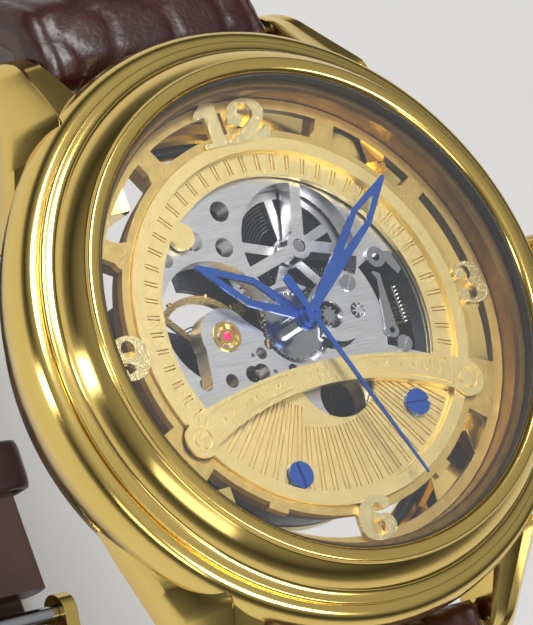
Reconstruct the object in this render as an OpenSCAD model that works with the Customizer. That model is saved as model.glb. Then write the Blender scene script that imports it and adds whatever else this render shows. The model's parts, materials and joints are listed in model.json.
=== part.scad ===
// Skeleton wristwatch with an automatic movement, on a buckled strap.
// +Z points out of the dial, +Y to 12 o'clock, +X to the crown.
// The origin is the centre of the case back's outer face. Lengths are millimetres.

/* [Case] */
// Diameter of the middle case
case_d = 43.5; // [43:0.1:44]
// Height of the dial's raised rim above the case back's outer face
rim_z = 9.4; // [9.2:0.1:9.8]
// Height of the bezel above the dial rim
bezel_h = 2.8; // [2.4:0.1:3.2]
// Radius of the bore through the middle case
bore_r = 17.2; // [17:0.1:17.5]
// Thickness of the glass over the dial
glass_t = 1.0; // [0.8:0.1:1.4]

// Fall of each lug's top for each millimetre outward
lug_slope = 0.84; // [0.8:0.01:0.88]

/* [Strap] */
// Distance between the lugs
lug_gap = 20; // [20:0.1:20.4]
// Distance from the dial's centre to each spring bar
bar_y = 22.5; // [22.5:0.05:22.7]
// Height of the spring bars
bar_z = 3; // [2.9:0.05:3.1]
// Half the width of the strap loop
loop_a = 30.4; // [30:0.2:32]
// Half the height of the strap loop
loop_b = 29; // [28:0.5:31]
// Exponent of the strap loop's superellipse, which squares it
loop_n = 2.8; // [2.2:0.1:3]

/* [Movement] */
// Radius of the main plate
plate_r = 13; // [12.5:0.1:13]
// Thickness of the main plate
plate_t = 1.4; // [1.2:0.1:1.6]
// Radius of the balance wheel
balance_r = 3.9; // [3.8:0.05:3.9]

/* [Dial] */
// Inner radius of the raised rim round the minute track
rim_r = 12.4; // [12:0.1:12.6]
// Inner radius of the minute track
track_r = 10.74; // [10.4:0.02:11]
// Time shown by the hour hand, in degrees from 12
hour_at = 304.2; // [0:0.1:360]
// Time shown by the minute hand, in degrees from 12
minute_at = 49.5; // [0:0.1:360]
// Time shown by the second hand, in degrees from 12
second_at = 159.6; // [0:0.1:360]

/* [Hidden] */

gold = "#d9b65a";
steel = "#c9ccd0";
blue = "#1f4fb5";
brass = "#caa24a";
leather = "#3c1416";
ruby = "#c0144f";
dark = "#2b2b2e";

case_r = case_d / 2;
bezel_z = rim_z + bezel_h;
plate_top = rim_z - 1.1;
plate_z = plate_top - plate_t;
gap = 0.05;
overrun = 1;
wheel_fn = 64;

// Centres of the wheels, seen from the dial
barrel_at = [2.65, 5.4];
barrel_r = 4.95;
third_at = [0.9, -3.66];
escape_at = [-2.87, -2.86];
fork_at = [-4.2, -1.43];
fork_turn = 42.7;
balance_at = [-5.74, 0.24];
minute_wheel_at = [2.96, 0.13];
crown_at = [0, 4.9];

// ---------- helpers ----------

function polar(r, a) = [r * sin(a), r * cos(a)];

module ring(r_in, r_out, z0, z1, fn = 96) {
    rotate_extrude($fn = fn)
    translate([r_in, z0])
    square([r_out - r_in, z1 - z0]);
}

module disc(r, z0, z1, at = [0, 0], fn = 48) {
    translate([at.x, at.y, z0])
    cylinder(r = r, h = z1 - z0, $fn = fn);
}

module plate(z0, z1) {
    translate([0, 0, z0])
    linear_extrude(z1 - z0)
    children();
}

// A flat sector from one clock angle to another, wide enough to cover radius r
module wedge(r, a0, a1) {
    steps = 6;
    polygon(concat([[0, 0]], [for (i = [0:steps]) polar(1.2 * r, a0 + (a1 - a0) * i / steps)]));
}

// A gear's outline: straight-sided teeth, with backlash
module gear_2d(teeth, r, depth = 0.24, width = 0.36) {
    pitch = 360 / teeth;
    polygon([
        for (i = [0:teeth - 1], k = [0:3])
        let (a = pitch * (i + width * [-0.62, -0.32, 0.32, 0.62][k]))
        polar(k == 0 || k == 3 ? r - depth * 0.6 : r + depth * 0.4, a)
    ]);
}

// A train wheel: toothed rim, spokes, hub and arbor
module wheel(at, teeth, r, z0, t, spokes, arbor_r, arbor_z0, arbor_z1, rim = 0.45, depth = 0.24, phase = 0) {
    translate([at.x, at.y, 0])
    rotate(phase) {
        difference() {
            plate(z0, z0 + t) gear_2d(teeth, r, depth);
            plate(z0 - overrun, z0 + t + overrun)
            difference() {
                circle(r - depth - rim, $fn = wheel_fn);
                circle(arbor_r + 0.45, $fn = 32);
                for (i = [0:spokes - 1])
                rotate(i * 360 / spokes)
                translate([0, r / 2])
                square([0.42, r], center = true);
            }
        }
        disc(arbor_r, arbor_z0, arbor_z1, fn = 32);
    }
}

// A slotted screw: head, slot and shank, head up
module screw(at, head_r, z_top, head_t, shank_r, shank_z, turn) {
    translate([at.x, at.y, 0])
    rotate(turn)
    difference() {
        union() {
            disc(head_r, z_top - head_t, z_top);
            disc(shank_r, shank_z, z_top - head_t + 0.01);
        }
        translate([-head_r - overrun, -0.09, z_top - head_t / 2])
        cube([2 * (head_r + overrun), 0.18, overrun]);
    }
}

// ---------- case ----------

// The case band's outline: round above its widest line, and drawn in below it
band_z = rim_z - 2.3;
band = concat(
    [for (i = [0:8]) let (a = 90 - 11.25 * i) [20.5 + (case_r - 20.5) * pow(cos(a), 0.8), band_z + 2.25 * pow(sin(a), 1)]],
    [for (i = [1:8]) [19.5 + (case_r - 19.5) * (1 - pow(i / 8, 1.4)), band_z - (band_z - 2.2) * i / 8]]
);

module case_ring() {
    rotate_extrude($fn = 128)
    polygon(concat([[bore_r, rim_z - 0.05]], band, [[18.6, 0.7], [18.1, 0.7], [18.1, 1.65], [bore_r, 1.65]]));
}

lug_top = [[9, rim_z - 0.35], for (i = [0:4]) [17.4 + 1.35 * i, rim_z - 0.35 - 1.35 * lug_slope * i]];

// One lug's side outline, across Y and Z
module lug_side() {
    polygon(concat(lug_top, [
        [23.45, 3.75], [23.75, 3.1], [23.75, 2.3], [23.4, 1.6], [22.8, 1.3], [22, 1.2], [19.5, 1.5], [9, 3.5]
    ]));
}

module lug() {
    intersection() {
        rotate([90, 0, 90])
        translate([0, 0, 10])
        linear_extrude(10)
        lug_side();
        plate(-2, 12)
        polygon([
            [lug_gap / 2, 8], [19, 8], [18.7, 9.5], [17.4, 12.9], [15.9, 17], [14.3, 21.8], [13.6, 24],
            [lug_gap / 2, 24]
        ]);
        rotate([90, 0, 0])
        translate([0, 0, -30])
        linear_extrude(30)
        polygon([[10, -2], [19, -2], [18.6, 5.5], [17.5, 6.9], [14.8, 9.2], [11.5, 12], [10, 12]]);
    }
}

module bar_hole(s) {
    translate([-lug_gap / 2 - 1.7, s * bar_y, bar_z])
    rotate([0, 90, 0])
    cylinder(r = 0.48, h = lug_gap + 3.4, $fn = 24);
}

module case_body() {
    color(gold)
    difference() {
        union() {
            case_ring();
            for (s = [0, 1], t = [0, 1])
            mirror([s, 0, 0])
            mirror([0, t, 0])
            lug();
        }
        disc(bore_r, -3, rim_z + 3, fn = 128);
        disc(18.1, -3, 1.65, fn = 128);
        for (s = [-1, 1]) bar_hole(s);
        translate([bore_r - 3, crown_at.x, crown_at.y])
        rotate([0, 90, 0])
        cylinder(r = 1.1, h = 8, $fn = 32);
    }
}

module bezel() {
    color(gold)
    rotate_extrude($fn = 144)
    polygon([
        [17.15, rim_z], [20.3, rim_z], [20.42, rim_z + 0.14], [20.3, rim_z + 0.3], [19.7, rim_z + 0.42],
        [19.5, rim_z + 0.6], [19.3, rim_z + 0.98], [19, rim_z + 1.4], [18.66, rim_z + 1.95],
        [18.4, rim_z + 2.35], [18.16, rim_z + 2.55], [18.1, rim_z + 2.74], [18, bezel_z],
        [17.36, bezel_z], [17.1, bezel_z - 0.24], [17.1, rim_z + 0.6], [17.15, rim_z + 0.5]
    ]);
}

module crystal() {
    color("#dfe8ee", 0.25)
    ring(0, 16.95, bezel_z - glass_t - 0.2, bezel_z - 0.2);
}

module crystal_gasket() {
    color(dark)
    ring(16.97, 17.09, bezel_z - glass_t - 0.2, bezel_z - 0.35);
}

module case_back() {
    color(gold)
    difference() {
        rotate_extrude($fn = 128)
        polygon([
            [15.2, 0], [17.5, 0], [17.95, 0.45], [17.95, 1.6], [17.15, 1.6], [17.15, 2.1],
            [16.4, 2.1], [16.4, 1.5], [15.9, 1.5], [15.9, 0.4], [15.2, 0.4]
        ]);
        for (i = [0:5])
        rotate(i * 60)
        translate([16.6, 0, -0.1])
        cylinder(r = 0.4, h = 0.6, $fn = 24);
    }
}

module back_crystal() {
    color("#dfe8ee", 0.25)
    ring(0, 15.6, 0.4, 1.4);
}

module back_gasket() {
    color(dark)
    ring(15.62, 15.88, 0.4, 1.3);
}

module inner_flange() {
    color(gold)
    rotate_extrude($fn = 128)
    polygon([
        [16.3, rim_z - 0.9], [17.12, rim_z - 0.9], [17.12, rim_z + 0.4], [17.05, rim_z + 1.5],
        [16.5, rim_z + 1.5], [16.35, rim_z + 1.2]
    ]);
}

// ---------- crown ----------

module along_x(x0) {
    translate([x0, crown_at.x, crown_at.y])
    rotate([0, 90, 0])
    children();
}

module crown_tube() {
    color(gold)
    along_x(bore_r + 0.1)
    ring(0.75, 1.08, 0, 5.2, 48);
}

module crown() {
    color(gold)
    along_x(22.25)
    difference() {
        union() {
            cylinder(r = 2.8, h = 0.5, $fn = 48);
            translate([0, 0, 0.5])
            linear_extrude(2.4)
            gear_2d(28, 3.15, 0.5, 0.55);
            translate([0, 0, 2.9])
            cylinder(r1 = 2.8, r2 = 2.3, h = 0.5, $fn = 48);
        }
        translate([0, 0, -0.1])
        cylinder(r = 1.6, h = 1.5, $fn = 32);
    }
}

module crown_gasket() {
    color(dark)
    along_x(22.55)
    ring(1.14, 1.56, 0, 0.5, 48);
}

module stem() {
    color(steel)
    along_x(0) {
        translate([0, 0, 11.2])
        cylinder(r = 0.5, h = 12.45, $fn = 32);
        translate([0, 0, 10.35])
        linear_extrude(0.9)
        gear_2d(14, 0.74, 0.24, 0.5);
    }
}

// ---------- dial ----------

module annulus(r_in, r_out) {
    difference() {
        circle(r_out, $fn = 128);
        circle(r_in, $fn = 128);
    }
}

module spoke(a, w, r0 = 13.6, r1 = 15.9) {
    rotate(-a)
    translate([-w / 2, r0])
    square([w, r1 - r0]);
}

module frame_2d() {
    intersection() {
        annulus(13.32, 16.25);
        frame_bars_2d();
    }
}

module frame_bars_2d() {
    annulus(15.5, 16.25);
    annulus(13.32, 13.95);
    for (a = [30, 60, 300, 330]) spoke(a, 1.5);
    for (a = [30, 60, 300, 330])
    rotate(-a)
    translate([0, 13.75])
    circle(1.05, $fn = 32);
    intersection() {
        annulus(13.5, 15.8);
        union() {
            wedge(15, 112, 128);
            wedge(15, 232, 248);
        }
    }
    intersection() {
        annulus(13.4, 14.35);
        for (a = [150, 210]) wedge(15, a - 3, a + 3);
    }
    for (a = [0, 90, 180, 270]) spoke(a, 0.9, 13.6, 15.9);
}

module dial_frame() {
    color(gold)
    difference() {
        plate(rim_z - 0.9, rim_z - 0.3) frame_2d();
        for (a = [120, 240]) disc(1.34, rim_z - 0.5, rim_z, polar(13.15, a));
    }
}

module arch_2d() {
    difference() {
        intersection() {
            translate([0, -3.15 - 35]) circle(35, $fn = 192);
            circle(13.3, $fn = 128);
        }
        translate([0, -4.8 - 23.4]) circle(23.4, $fn = 160);
    }
}

module below_arch_2d() {
    translate([0, -3.1 - 35]) circle(35, $fn = 192);
}

// Two engraved lines that edge a baton from r0 to r1, half_w either side of its middle
module baton(r0, r1, half_w) {
    for (x = [-half_w, half_w - 0.09])
    translate([x, r0, rim_z - 0.72])
    cube([0.09, r1 - r0, 1]);
}

module chapter_ring() {
    color(gold)
    difference() {
        union() {
            ring(rim_r, 13.3, rim_z - 0.9, rim_z, 128);
            difference() {
                plate(rim_z - 0.9, rim_z - 0.5)
                difference() {
                    union() {
                        annulus(track_r, rim_r + 0.1);
                        translate(polar(10.15, 318)) circle(0.95, $fn = 32);
                    }
                    below_arch_2d();
                }
            }
        }
        for (i = [0:59])
        if (cos(6 * i) > -0.42)
        rotate(-6 * i)
        baton(11.1, 12.25, 0.17);
        plate(rim_z - 0.7, rim_z + overrun)
        for (a = [120, 240]) translate(polar(13.15, a)) circle(1.34, $fn = 48);
    }
}

module dial_bridge() {
    color(gold)
    difference() {
        union() {
            plate(rim_z - 0.45, rim_z + 0.05)
            intersection() {
                arch_2d();
                circle(rim_r - 0.02, $fn = 128);
            }
            plate(rim_z + 0.02, rim_z + 0.25) {
                arch_2d();
                for (a = [120, 240]) translate(polar(13.15, a)) circle(1.3, $fn = 48);
            }
        }
        for (a = [120, 240])
        translate([polar(13.15, a).x, polar(13.15, a).y, 0])
        ring(0.62, 0.76, rim_z + 0.13, rim_z + 1, 48);
        plate(rim_z + 0.15, rim_z + 1)
        intersection() {
            union() {
                translate([0, -38.15]) annulus(34.62, 34.74);
                translate([0, -28.2]) annulus(23.66, 23.78);
            }
            for (s = [-1, 1])
            translate([s * 6.6, -5])
            square([7, 6], center = true);
        }
        for (s = [-1, 1], i = [0:5])
        translate([s * (4.2 + i), -28.2 + sqrt(24.35 * 24.35 - pow(4.2 + i, 2)), rim_z + 0.15])
        cylinder(r = 0.16, h = 1, $fn = 8);
    }
}

module lower_dial_plate() {
    color(gold)
    difference() {
        plate(rim_z - 0.9, rim_z - 0.5)
        difference() {
            intersection() {
                circle(rim_r - 0.02, $fn = 128);
                below_arch_2d();
            }
            translate([1.3, -4.0]) circle(3.2, $fn = 64);
        }
        for (i = [-13:13])
        rotate(180 - 4.6 * i)
        baton(abs(i) < 5 ? 7.6 : 6.2, 12.1, 0.2);
        for (p = dial_screw_at) disc(0.36, rim_z - 2, rim_z, p);
    }
}

dial_screw_at = [[6.9, -7.35], [-4.5, -10.4]];

module dial_screws() {
    color(blue) {
        screw(dial_screw_at[0], 0.95, rim_z - 0.1, 0.38, 0.34, plate_top + 0.02, -4);
        screw(dial_screw_at[1], 0.95, rim_z - 0.1, 0.38, 0.34, plate_top + 0.02, 92);
    }
}

// Numerals: flat slab figures that bridge the frame's gap
module figure_1() {
    translate([-0.35, 0]) square([0.95, 3.1]);
    translate([-0.95, 0]) square([2.1, 0.32]);
    polygon([[-0.35, 3.1], [-0.35, 2.2], [-1.1, 2.05], [-1.1, 2.4]]);
}

module figure_2() {
    intersection() {
        translate([0, 2.05])
        difference() {
            scale([1.28, 1.08]) circle(1, $fn = 48);
            scale([0.5, 0.7]) circle(1, $fn = 48);
        }
        polygon([[-2, 1.9], [0, 1.95], [0.1, 1.1], [2, 0.9], [2, 4], [-2, 4]]);
    }
    translate([-0.85, 1.75]) circle(0.52, $fn = 32);
    polygon([[1.22, 1.8], [0.5, 1.75], [-1.3, 0.35], [-1.3, 0], [0.4, 0.55]]);
    polygon([[-1.3, 0], [1.1, 0], [1.4, 1.0], [1.15, 1.0], [0.9, 0.75], [-0.9, 0.72]]);
}

module figure_3() {
    difference() {
        union() {
            translate([0, 2.2]) scale([1.1, 0.88]) circle(1, $fn = 48);
            translate([0, 0.95]) scale([1.25, 0.97]) circle(1, $fn = 48);
        }
        translate([-0.2, 2.25]) scale([0.45, 0.55]) circle(1, $fn = 32);
        translate([-0.2, 0.9]) scale([0.5, 0.6]) circle(1, $fn = 32);
        polygon([[-2, 0.95], [-0.3, 0.8], [-0.3, 2.3], [-2, 2.1]]);
    }
    translate([-0.75, 2.35]) circle(0.42, $fn = 32);
    translate([-0.85, 0.72]) circle(0.45, $fn = 32);
}

module figure_6() {
    difference() {
        union() {
            translate([0, 1.02]) scale([1.45, 1.02]) circle(1, $fn = 48);
            intersection() {
                translate([0.25, 1.65]) scale([1.7, 1.5]) circle(1, $fn = 48);
                polygon([[-2, 0.8], [-0.2, 1], [0.6, 2.5], [1.2, 3.5], [-2, 3.5]]);
            }
        }
        translate([0, 0.98]) scale([0.55, 0.62]) circle(1, $fn = 32);
        translate([0.75, 2.25]) scale([0.85, 0.42]) circle(1, $fn = 32);
    }
    translate([1.0, 2.55]) circle(0.45, $fn = 32);
}

module numerals() {
    color(gold)
    difference() {
        numeral_figures();
        disc(13.32, 0, rim_z, fn = 128);
    }
}

module numeral_figures() {
    plate(rim_z - 0.28, rim_z + 0.12) {
        translate([-1.75, 13.02]) scale([1.15, 1.03]) figure_1();
        translate([1.25, 13.02]) scale([1.2, 1.0]) figure_2();
        translate([14.6, -1.5]) figure_3();
        translate([0, -16.15]) figure_6();
        translate([-14.6, 1.5]) rotate(180) figure_6();
    }
}

// ---------- hands ----------

module hub(r, z0, z1, bore) {
    difference() {
        disc(r, z0, z1, fn = 48);
        disc(bore, z0 - overrun, z1 + overrun, fn = 32);
    }
}

hour_z = rim_z + 0.35;
minute_z = rim_z + 0.75;
second_z = rim_z + 1.15;

module hour_hand() {
    color(blue) {
        rotate(-hour_at)
        plate(hour_z, hour_z + 0.2)
        difference() {
            polygon([
                [-0.42, 0.6], [-1.1, 4.5], [-0.18, 8.85], [0, 9], [0.18, 8.85], [1.1, 4.5], [0.42, 0.6]
            ]);
            polygon([[0, 1.9], [-0.62, 4.5], [0, 7.5], [0.62, 4.5]]);
        }
        hub(0.95, hour_z - 0.05, hour_z + 0.25, 0.68);
    }
}

module minute_hand() {
    color(blue) {
        rotate(-minute_at)
        plate(minute_z, minute_z + 0.2)
        difference() {
            polygon([
                [-0.3, 0.5], [-0.86, 9.3], [-0.16, 13.05], [0, 13.2], [0.16, 13.05], [0.86, 9.3], [0.3, 0.5]
            ]);
            polygon([[0, 5.9], [-0.45, 9.3], [0, 11.4], [0.45, 9.3]]);
        }
        hub(0.8, minute_z - 0.05, minute_z + 0.25, 0.48);
    }
}

module second_hand() {
    color(blue) {
        rotate(-second_at)
        plate(second_z, second_z + 0.15) {
            polygon([[-0.2, 0], [-0.07, 13.4], [0.07, 13.4], [0.2, 0]]);
            difference() {
                polygon([[-0.18, 0], [-0.36, -2.8], [0.36, -2.8], [0.18, 0]]);
                circle(0.1, $fn = 16);
            }
            translate([0, -2.85]) circle(0.36, $fn = 32);
        }
        difference() {
            disc(0.6, second_z - 0.05, second_z + 0.3, fn = 48);
            disc(0.2, second_z + 0.16, second_z + 1, fn = 24);
        }
    }
}

// ---------- movement ----------

wheel_top = plate_z - 0.1;
center_z = 4.78;
third_z = 4.52;
fourth_z = 4.28;

module plate_windows_2d() {
    difference() {
        translate([-5.9, 1.2]) circle(4.5, $fn = 64);
        translate(balance_at) circle(2.02, $fn = 48);
        polygon([[-7.6, 0.3], [-8.4, -4.5], [-1, -4.5], [-2.2, -0.6], [-4.4, 1.6]]);
    }
    difference() {
        translate(barrel_at) circle(4.6, $fn = 64);
        translate(barrel_at) circle(0.95, $fn = 32);
        translate(barrel_at)
        for (a = [18, 105, 255])
        rotate(-a)
        translate([-0.42, 0])
        square([0.84, 6]);
        circle(3.1, $fn = 48);
        translate([-3.4, 6.3]) circle(1.2, $fn = 32);
    }
    intersection() {
        annulus(7.4, 10.6);
        wedge(11, 66, 112);
        translate([-1, -4]) square([14, 7.5]);
    }
    translate([-3.95, -2.72]) circle(0.62, $fn = 32);
    translate([-4.7, -2.72]) circle(0.6, $fn = 32);
    translate([1.7, -5.7]) circle(1.8, $fn = 48);
}

plate_holes = [
    [-2.76, 8.87, 0.75], [-5.7, 7.19, 0.72], [-3.41, 6.32, 0.7], [-8.32, 6.23, 0.5],
    [-3.49, -1.43, 0.42], [-2.6, -0.9, 0.4], [-8.67, -2.69, 0.5], [-6.55, -2.85, 0.5], [-1.42, -2.94, 0.35]
];

module main_plate() {
    color(steel)
    difference() {
        disc(plate_r, plate_z, plate_top, fn = 128);
        plate(plate_z - overrun, plate_top + overrun) {
            plate_windows_2d();
            circle(0.95, $fn = 32);
            for (h = plate_holes) translate([h[0], h[1]]) circle(h[2], $fn = 32);
            for (p = dial_screw_at) translate(p) circle(0.36, $fn = 24);
            translate(barrel_at) circle(0.5, $fn = 32);
            for (p = [third_at, escape_at, fork_at]) translate(p) circle(0.16, $fn = 16);
            for (p = movement_screw_at) translate(p) circle(0.32, $fn = 16);
        }
        disc(1.1, plate_top - 0.35, plate_top + overrun, balance_at);
        disc(0.5, plate_z - overrun, plate_top, balance_at, 24);
        disc(2.8, plate_top - 1.0, plate_top + overrun, fn = 64);
        disc(2.45, plate_top - 1.0, plate_top + overrun, minute_wheel_at, 64);
    }
}

module movement_ring() {
    color(gold)
    plate(plate_z + 0.2, rim_z - 0.95)
    difference() {
        union() {
            annulus(13.04, 13.6);
            annulus(16.4, 17.15);
            for (a = [30, 60, 120, 240, 300, 330]) spoke(a, 1.3, 13.3, 16.7);
        }
        rotate(-90) translate([-1.3, 12]) square([2.6, 6]);
    }
}

module barrel_drum() {
    color(steel)
    translate([barrel_at.x, barrel_at.y, 0])
    difference() {
        union() {
            plate(wheel_top - 0.45, wheel_top - 0.15) gear_2d(72, barrel_r, 0.36);
            ring(4.1, 4.45, wheel_top - 1.55, wheel_top - 0.2);
        }
        plate(wheel_top - 1, wheel_top + overrun)
        difference() {
            circle(4.0, $fn = 64);
            circle(1.1, $fn = 32);
            for (i = [0:4])
            rotate(i * 72)
            translate([-0.35, 0])
            square([0.7, 5]);
        }
        disc(0.62, wheel_top - 2, wheel_top + overrun);
    }
}

module mainspring() {
    color(dark)
    translate([barrel_at.x, barrel_at.y, wheel_top - 1.45])
    linear_extrude(0.9) {
        for (i = [0:7]) annulus(2.05 + 0.24 * i, 2.17 + 0.24 * i);
        for (i = [0:6])
        rotate(50 * i)
        translate([2.1 + 0.24 * i, -0.1])
        square([0.3, 0.2]);
        difference() {
            rotate(12) translate([0.66, -0.08]) square([1.5, 0.16]);
            circle(0.64, $fn = 32);
        }
    }
}

module barrel_arbor() {
    color(steel)
    disc(0.55, 3.95, wheel_top - 0.5, barrel_at, 32);
    color(steel)
    disc(0.45, wheel_top - 0.5, plate_top - 0.1, barrel_at, 32);
}

module center_wheel() {
    color(brass)
    difference() {
        union() {
            wheel([0, 0], 80, 3.351, center_z, 0.15, 5, 0.62, center_z - 0.05, plate_top - 0.95);
            plate(wheel_top - 0.5, wheel_top - 0.08) gear_2d(12, 0.95, 0.26);
        }
        disc(0.3, 0, 20, fn = 24);
    }
}

module third_wheel() {
    color(brass) {
        wheel(third_at, 75, 3.326, third_z, 0.14, 5, 0.14, 3.9, plate_top - 0.3);
        translate([third_at.x, third_at.y, 0])
        plate(center_z - 0.02, center_z + 0.2) gear_2d(10, 0.419, 0.2);
    }
}

module fourth_wheel() {
    color(brass) {
        wheel([0, 0], 64, 3.6, fourth_z, 0.16, 4, 0.22, 3.9, second_z - 0.06);
        plate(third_z - 0.08, third_z + 0.16) gear_2d(10, 0.4435, 0.2);
    }
}

module escape_wheel() {
    color(steel)
    translate([escape_at.x, escape_at.y, 0]) {
        plate(wheel_top - 0.7, wheel_top - 0.55)
        difference() {
            polygon([
                for (i = [0:19], k = [0:2])
                polar([1.15, 1.5, 1.15][k], 18 * i + [-2, 2, 5][k])
            ]);
            difference() {
                circle(0.95, $fn = 48);
                circle(0.35, $fn = 24);
                for (i = [0:3])
                rotate(90 * i)
                translate([-0.1, 0])
                square([0.2, 1]);
            }
        }
        disc(0.12, 3.9, plate_top - 0.3, fn = 16);
        plate(fourth_z - 0.03, fourth_z + 0.19) gear_2d(8, 0.45, 0.2);
    }
}

module pallet_fork() {
    color(steel) {
        plate(wheel_top - 0.73, wheel_top - 0.55) {
            difference() {
                translate(fork_at)
                rotate(fork_turn) {
                    polygon([[-1.1, -0.45], [-1.05, -0.75], [0, -0.25], [1.05, -0.75], [1.1, -0.45], [0, 0.3]]);
                    polygon([[-0.2, 0], [-0.1, 1.5], [0.1, 1.5], [0.2, 0]]);
                }
                translate(escape_at) circle(1.56, $fn = 48);
            }
        }
        disc(0.12, wheel_top - 1.2, plate_top - 0.3, fork_at, 16);
    }
}

module balance_wheel() {
    color(brass)
    translate([balance_at.x, balance_at.y, 0]) {
        ring(balance_r - 0.42, balance_r, wheel_top - 1.75, wheel_top - 1.2);
        plate(wheel_top - 1.6, wheel_top - 1.35)
        difference() {
            for (i = [0:2])
            rotate(40 + i * 120)
            translate([-0.22, 0])
            square([0.44, balance_r - 0.2]);
            circle(0.1, $fn = 16);
        }
        disc(0.45, wheel_top - 1.7, wheel_top - 1.25, fn = 32);
        disc(0.15, wheel_top - 2.6, plate_top - 0.5, fn = 16);
        disc(0.75, wheel_top - 1.1, wheel_top - 0.95, fn = 32);
        for (i = [0:7])
        rotate(22.5 + i * 45)
        translate([0, balance_r - 0.05, wheel_top - 1.48])
        rotate([-90, 0, 0])
        cylinder(r = 0.2, h = 0.25, $fn = 12);
    }
}

module hairspring() {
    color("#3a4f8a")
    translate([balance_at.x, balance_at.y, wheel_top - 2.1])
    linear_extrude(0.15) {
        for (i = [0:5]) annulus(0.6 + 0.26 * i, 0.68 + 0.26 * i);
        for (i = [0:4])
        rotate(70 * i)
        translate([0.63 + 0.26 * i, -0.06])
        square([0.3, 0.12]);
    }
}

bridge_z = 4.2;

module balance_cock() {
    color(steel)
    difference() {
        plate(bridge_z - 0.6, bridge_z)
        difference() {
            union() {
                translate(balance_at) circle(1.5, $fn = 48);
                intersection() {
                    circle(plate_r - 0.2, $fn = 128);
                    translate(balance_at) rotate(66) translate([-1.3, 0]) square([2.6, 9]);
                }
            }
            translate(balance_at) circle(0.2, $fn = 16);
        }
    }
    color(steel)
    plate(bridge_z, plate_z)
    intersection() {
        annulus(11.4, plate_r - 0.2);
        translate(balance_at) rotate(66) translate([-1.3, 0]) square([2.6, 9]);
    }
}

module train_bridge() {
    color(steel)
    difference() {
        union() {
            plate(bridge_z - 0.8, bridge_z - 0.2)
            intersection() {
                circle(plate_r - 0.2, $fn = 128);
                difference() {
                    translate([-13, -13]) square([26, 14]);
                    translate(balance_at) circle(4.9, $fn = 64);
                }
            }
            plate(bridge_z - 0.3, plate_z)
            intersection() {
                annulus(11.4, plate_r - 0.2);
                wedge(14, 110, 216);
            }
        }
        for (p = [third_at, escape_at, fork_at, [0, 0]]) disc(0.28, 0, plate_z, p, 16);
        disc(0.5, 0, 20, fn = 24);
    }
}

module barrel_bridge() {
    color(steel)
    difference() {
        union() {
            plate(bridge_z - 0.8, bridge_z - 0.2)
            intersection() {
                circle(plate_r - 0.2, $fn = 128);
                difference() {
                    translate([-5, 1.05]) square([18, 12]);
                    translate(balance_at) circle(4.9, $fn = 64);
                }
            }
            plate(bridge_z - 0.3, plate_z)
            intersection() {
                annulus(11.4, plate_r - 0.2);
                union() {
                    wedge(14, 340, 385);
                    wedge(14, 50, 76);
                }
            }
        }
        disc(0.6, 0, 20, barrel_at, 32);
        disc(0.35, 0, 20, [8.3, 9], 16);
    }
}

module ratchet_wheel() {
    color(steel)
    translate([barrel_at.x, barrel_at.y, 0])
    difference() {
        union() {
            plate(bridge_z - 1.15, bridge_z - 0.85) gear_2d(60, 3.7, 0.3);
            disc(0.55, bridge_z - 0.9, bridge_z - 0.25, fn = 32);
        }
        disc(0.2, 0, bridge_z - 1, fn = 16);
    }
}

module crown_wheel() {
    color(steel)
    translate([8.3, 9, 0]) {
        plate(bridge_z - 1.15, bridge_z - 0.85) gear_2d(46, 2.84, 0.3, 0.34);
        disc(0.3, bridge_z - 0.9, bridge_z - 0.2, fn = 16);
    }
}

module click() {
    color(steel)
    translate([-2.4, 8.6, 0]) {
        plate(bridge_z - 1.1, bridge_z - 0.85)
        difference() {
            union() {
                circle(0.7, $fn = 32);
                polygon([[0.6, -0.4], [1.5, 0.9], [1.3, 1.2], [-0.5, 0.4]]);
            }
            translate([5.05, -3.2]) circle(3.95, $fn = 64);
        }
    }
}

module cannon_pinion() {
    color(steel)
    difference() {
        union() {
            disc(0.46, plate_top - 0.9, minute_z - 0.06, fn = 32);
            plate(plate_top - 0.88, plate_top - 0.5) gear_2d(12, 0.74, 0.2, 0.34);
        }
        disc(0.3, 0, 20, fn = 24);
    }
}

module minute_wheel() {
    color(steel)
    translate([minute_wheel_at.x, minute_wheel_at.y, 0])
    rotate(5) {
        plate(plate_top - 0.9, plate_top - 0.7) gear_2d(36, 2.22, 0.2, 0.34);
        plate(plate_top - 0.72, plate_top + 0.1) gear_2d(10, 0.592, 0.2, 0.34);
    }
}

module hour_wheel() {
    color(steel)
    difference() {
        union() {
            plate(plate_top - 0.45, plate_top - 0.2) gear_2d(40, 2.368, 0.2, 0.34);
            disc(0.66, plate_top - 0.3, hour_z - 0.06, fn = 32);
        }
        disc(0.5, 0, 20, fn = 24);
    }
}

module motion_cover() {
    color(steel)
    difference() {
        plate(plate_top + 0.02, plate_top + 0.24)
        difference() {
            union() {
                translate([3.6, 0.3]) circle(2.25, $fn = 64);
                translate([5.3, 0.9]) circle(1.75, $fn = 48);
                translate([4.6, 2.0]) circle(1.2, $fn = 32);
            }
            circle(2.2, $fn = 64);
            translate(minute_wheel_at) circle(1.0, $fn = 48);
            translate([5.3, 0.02]) circle(0.6, $fn = 32);
            for (i = [0:4]) translate([7.1, -0.9 + 0.7 * i]) circle(0.18, $fn = 16);
        }
        disc(0.34, 0, 20, movement_screw_at[0], 24);
    }
    color(steel)
    translate([5.3, 0.02, 0])
    plate(plate_top + 0.02, plate_top + 0.3) gear_2d(8, 0.42, 0.3, 0.4);
}

module setting_lever() {
    color(steel)
    plate(plate_top + 0.04, plate_top + 0.3)
    difference() {
        union() {
            translate([8.3, 3.4]) circle(0.75, $fn = 32);
            polygon([[7.9, 2.8], [8.9, 3], [9.6, 1.9], [10, 2.2], [9.6, 3.6], [7.8, 3.9]]);
        }
        translate([8.3, 3.4]) circle(0.3, $fn = 24);
    }
}

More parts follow.
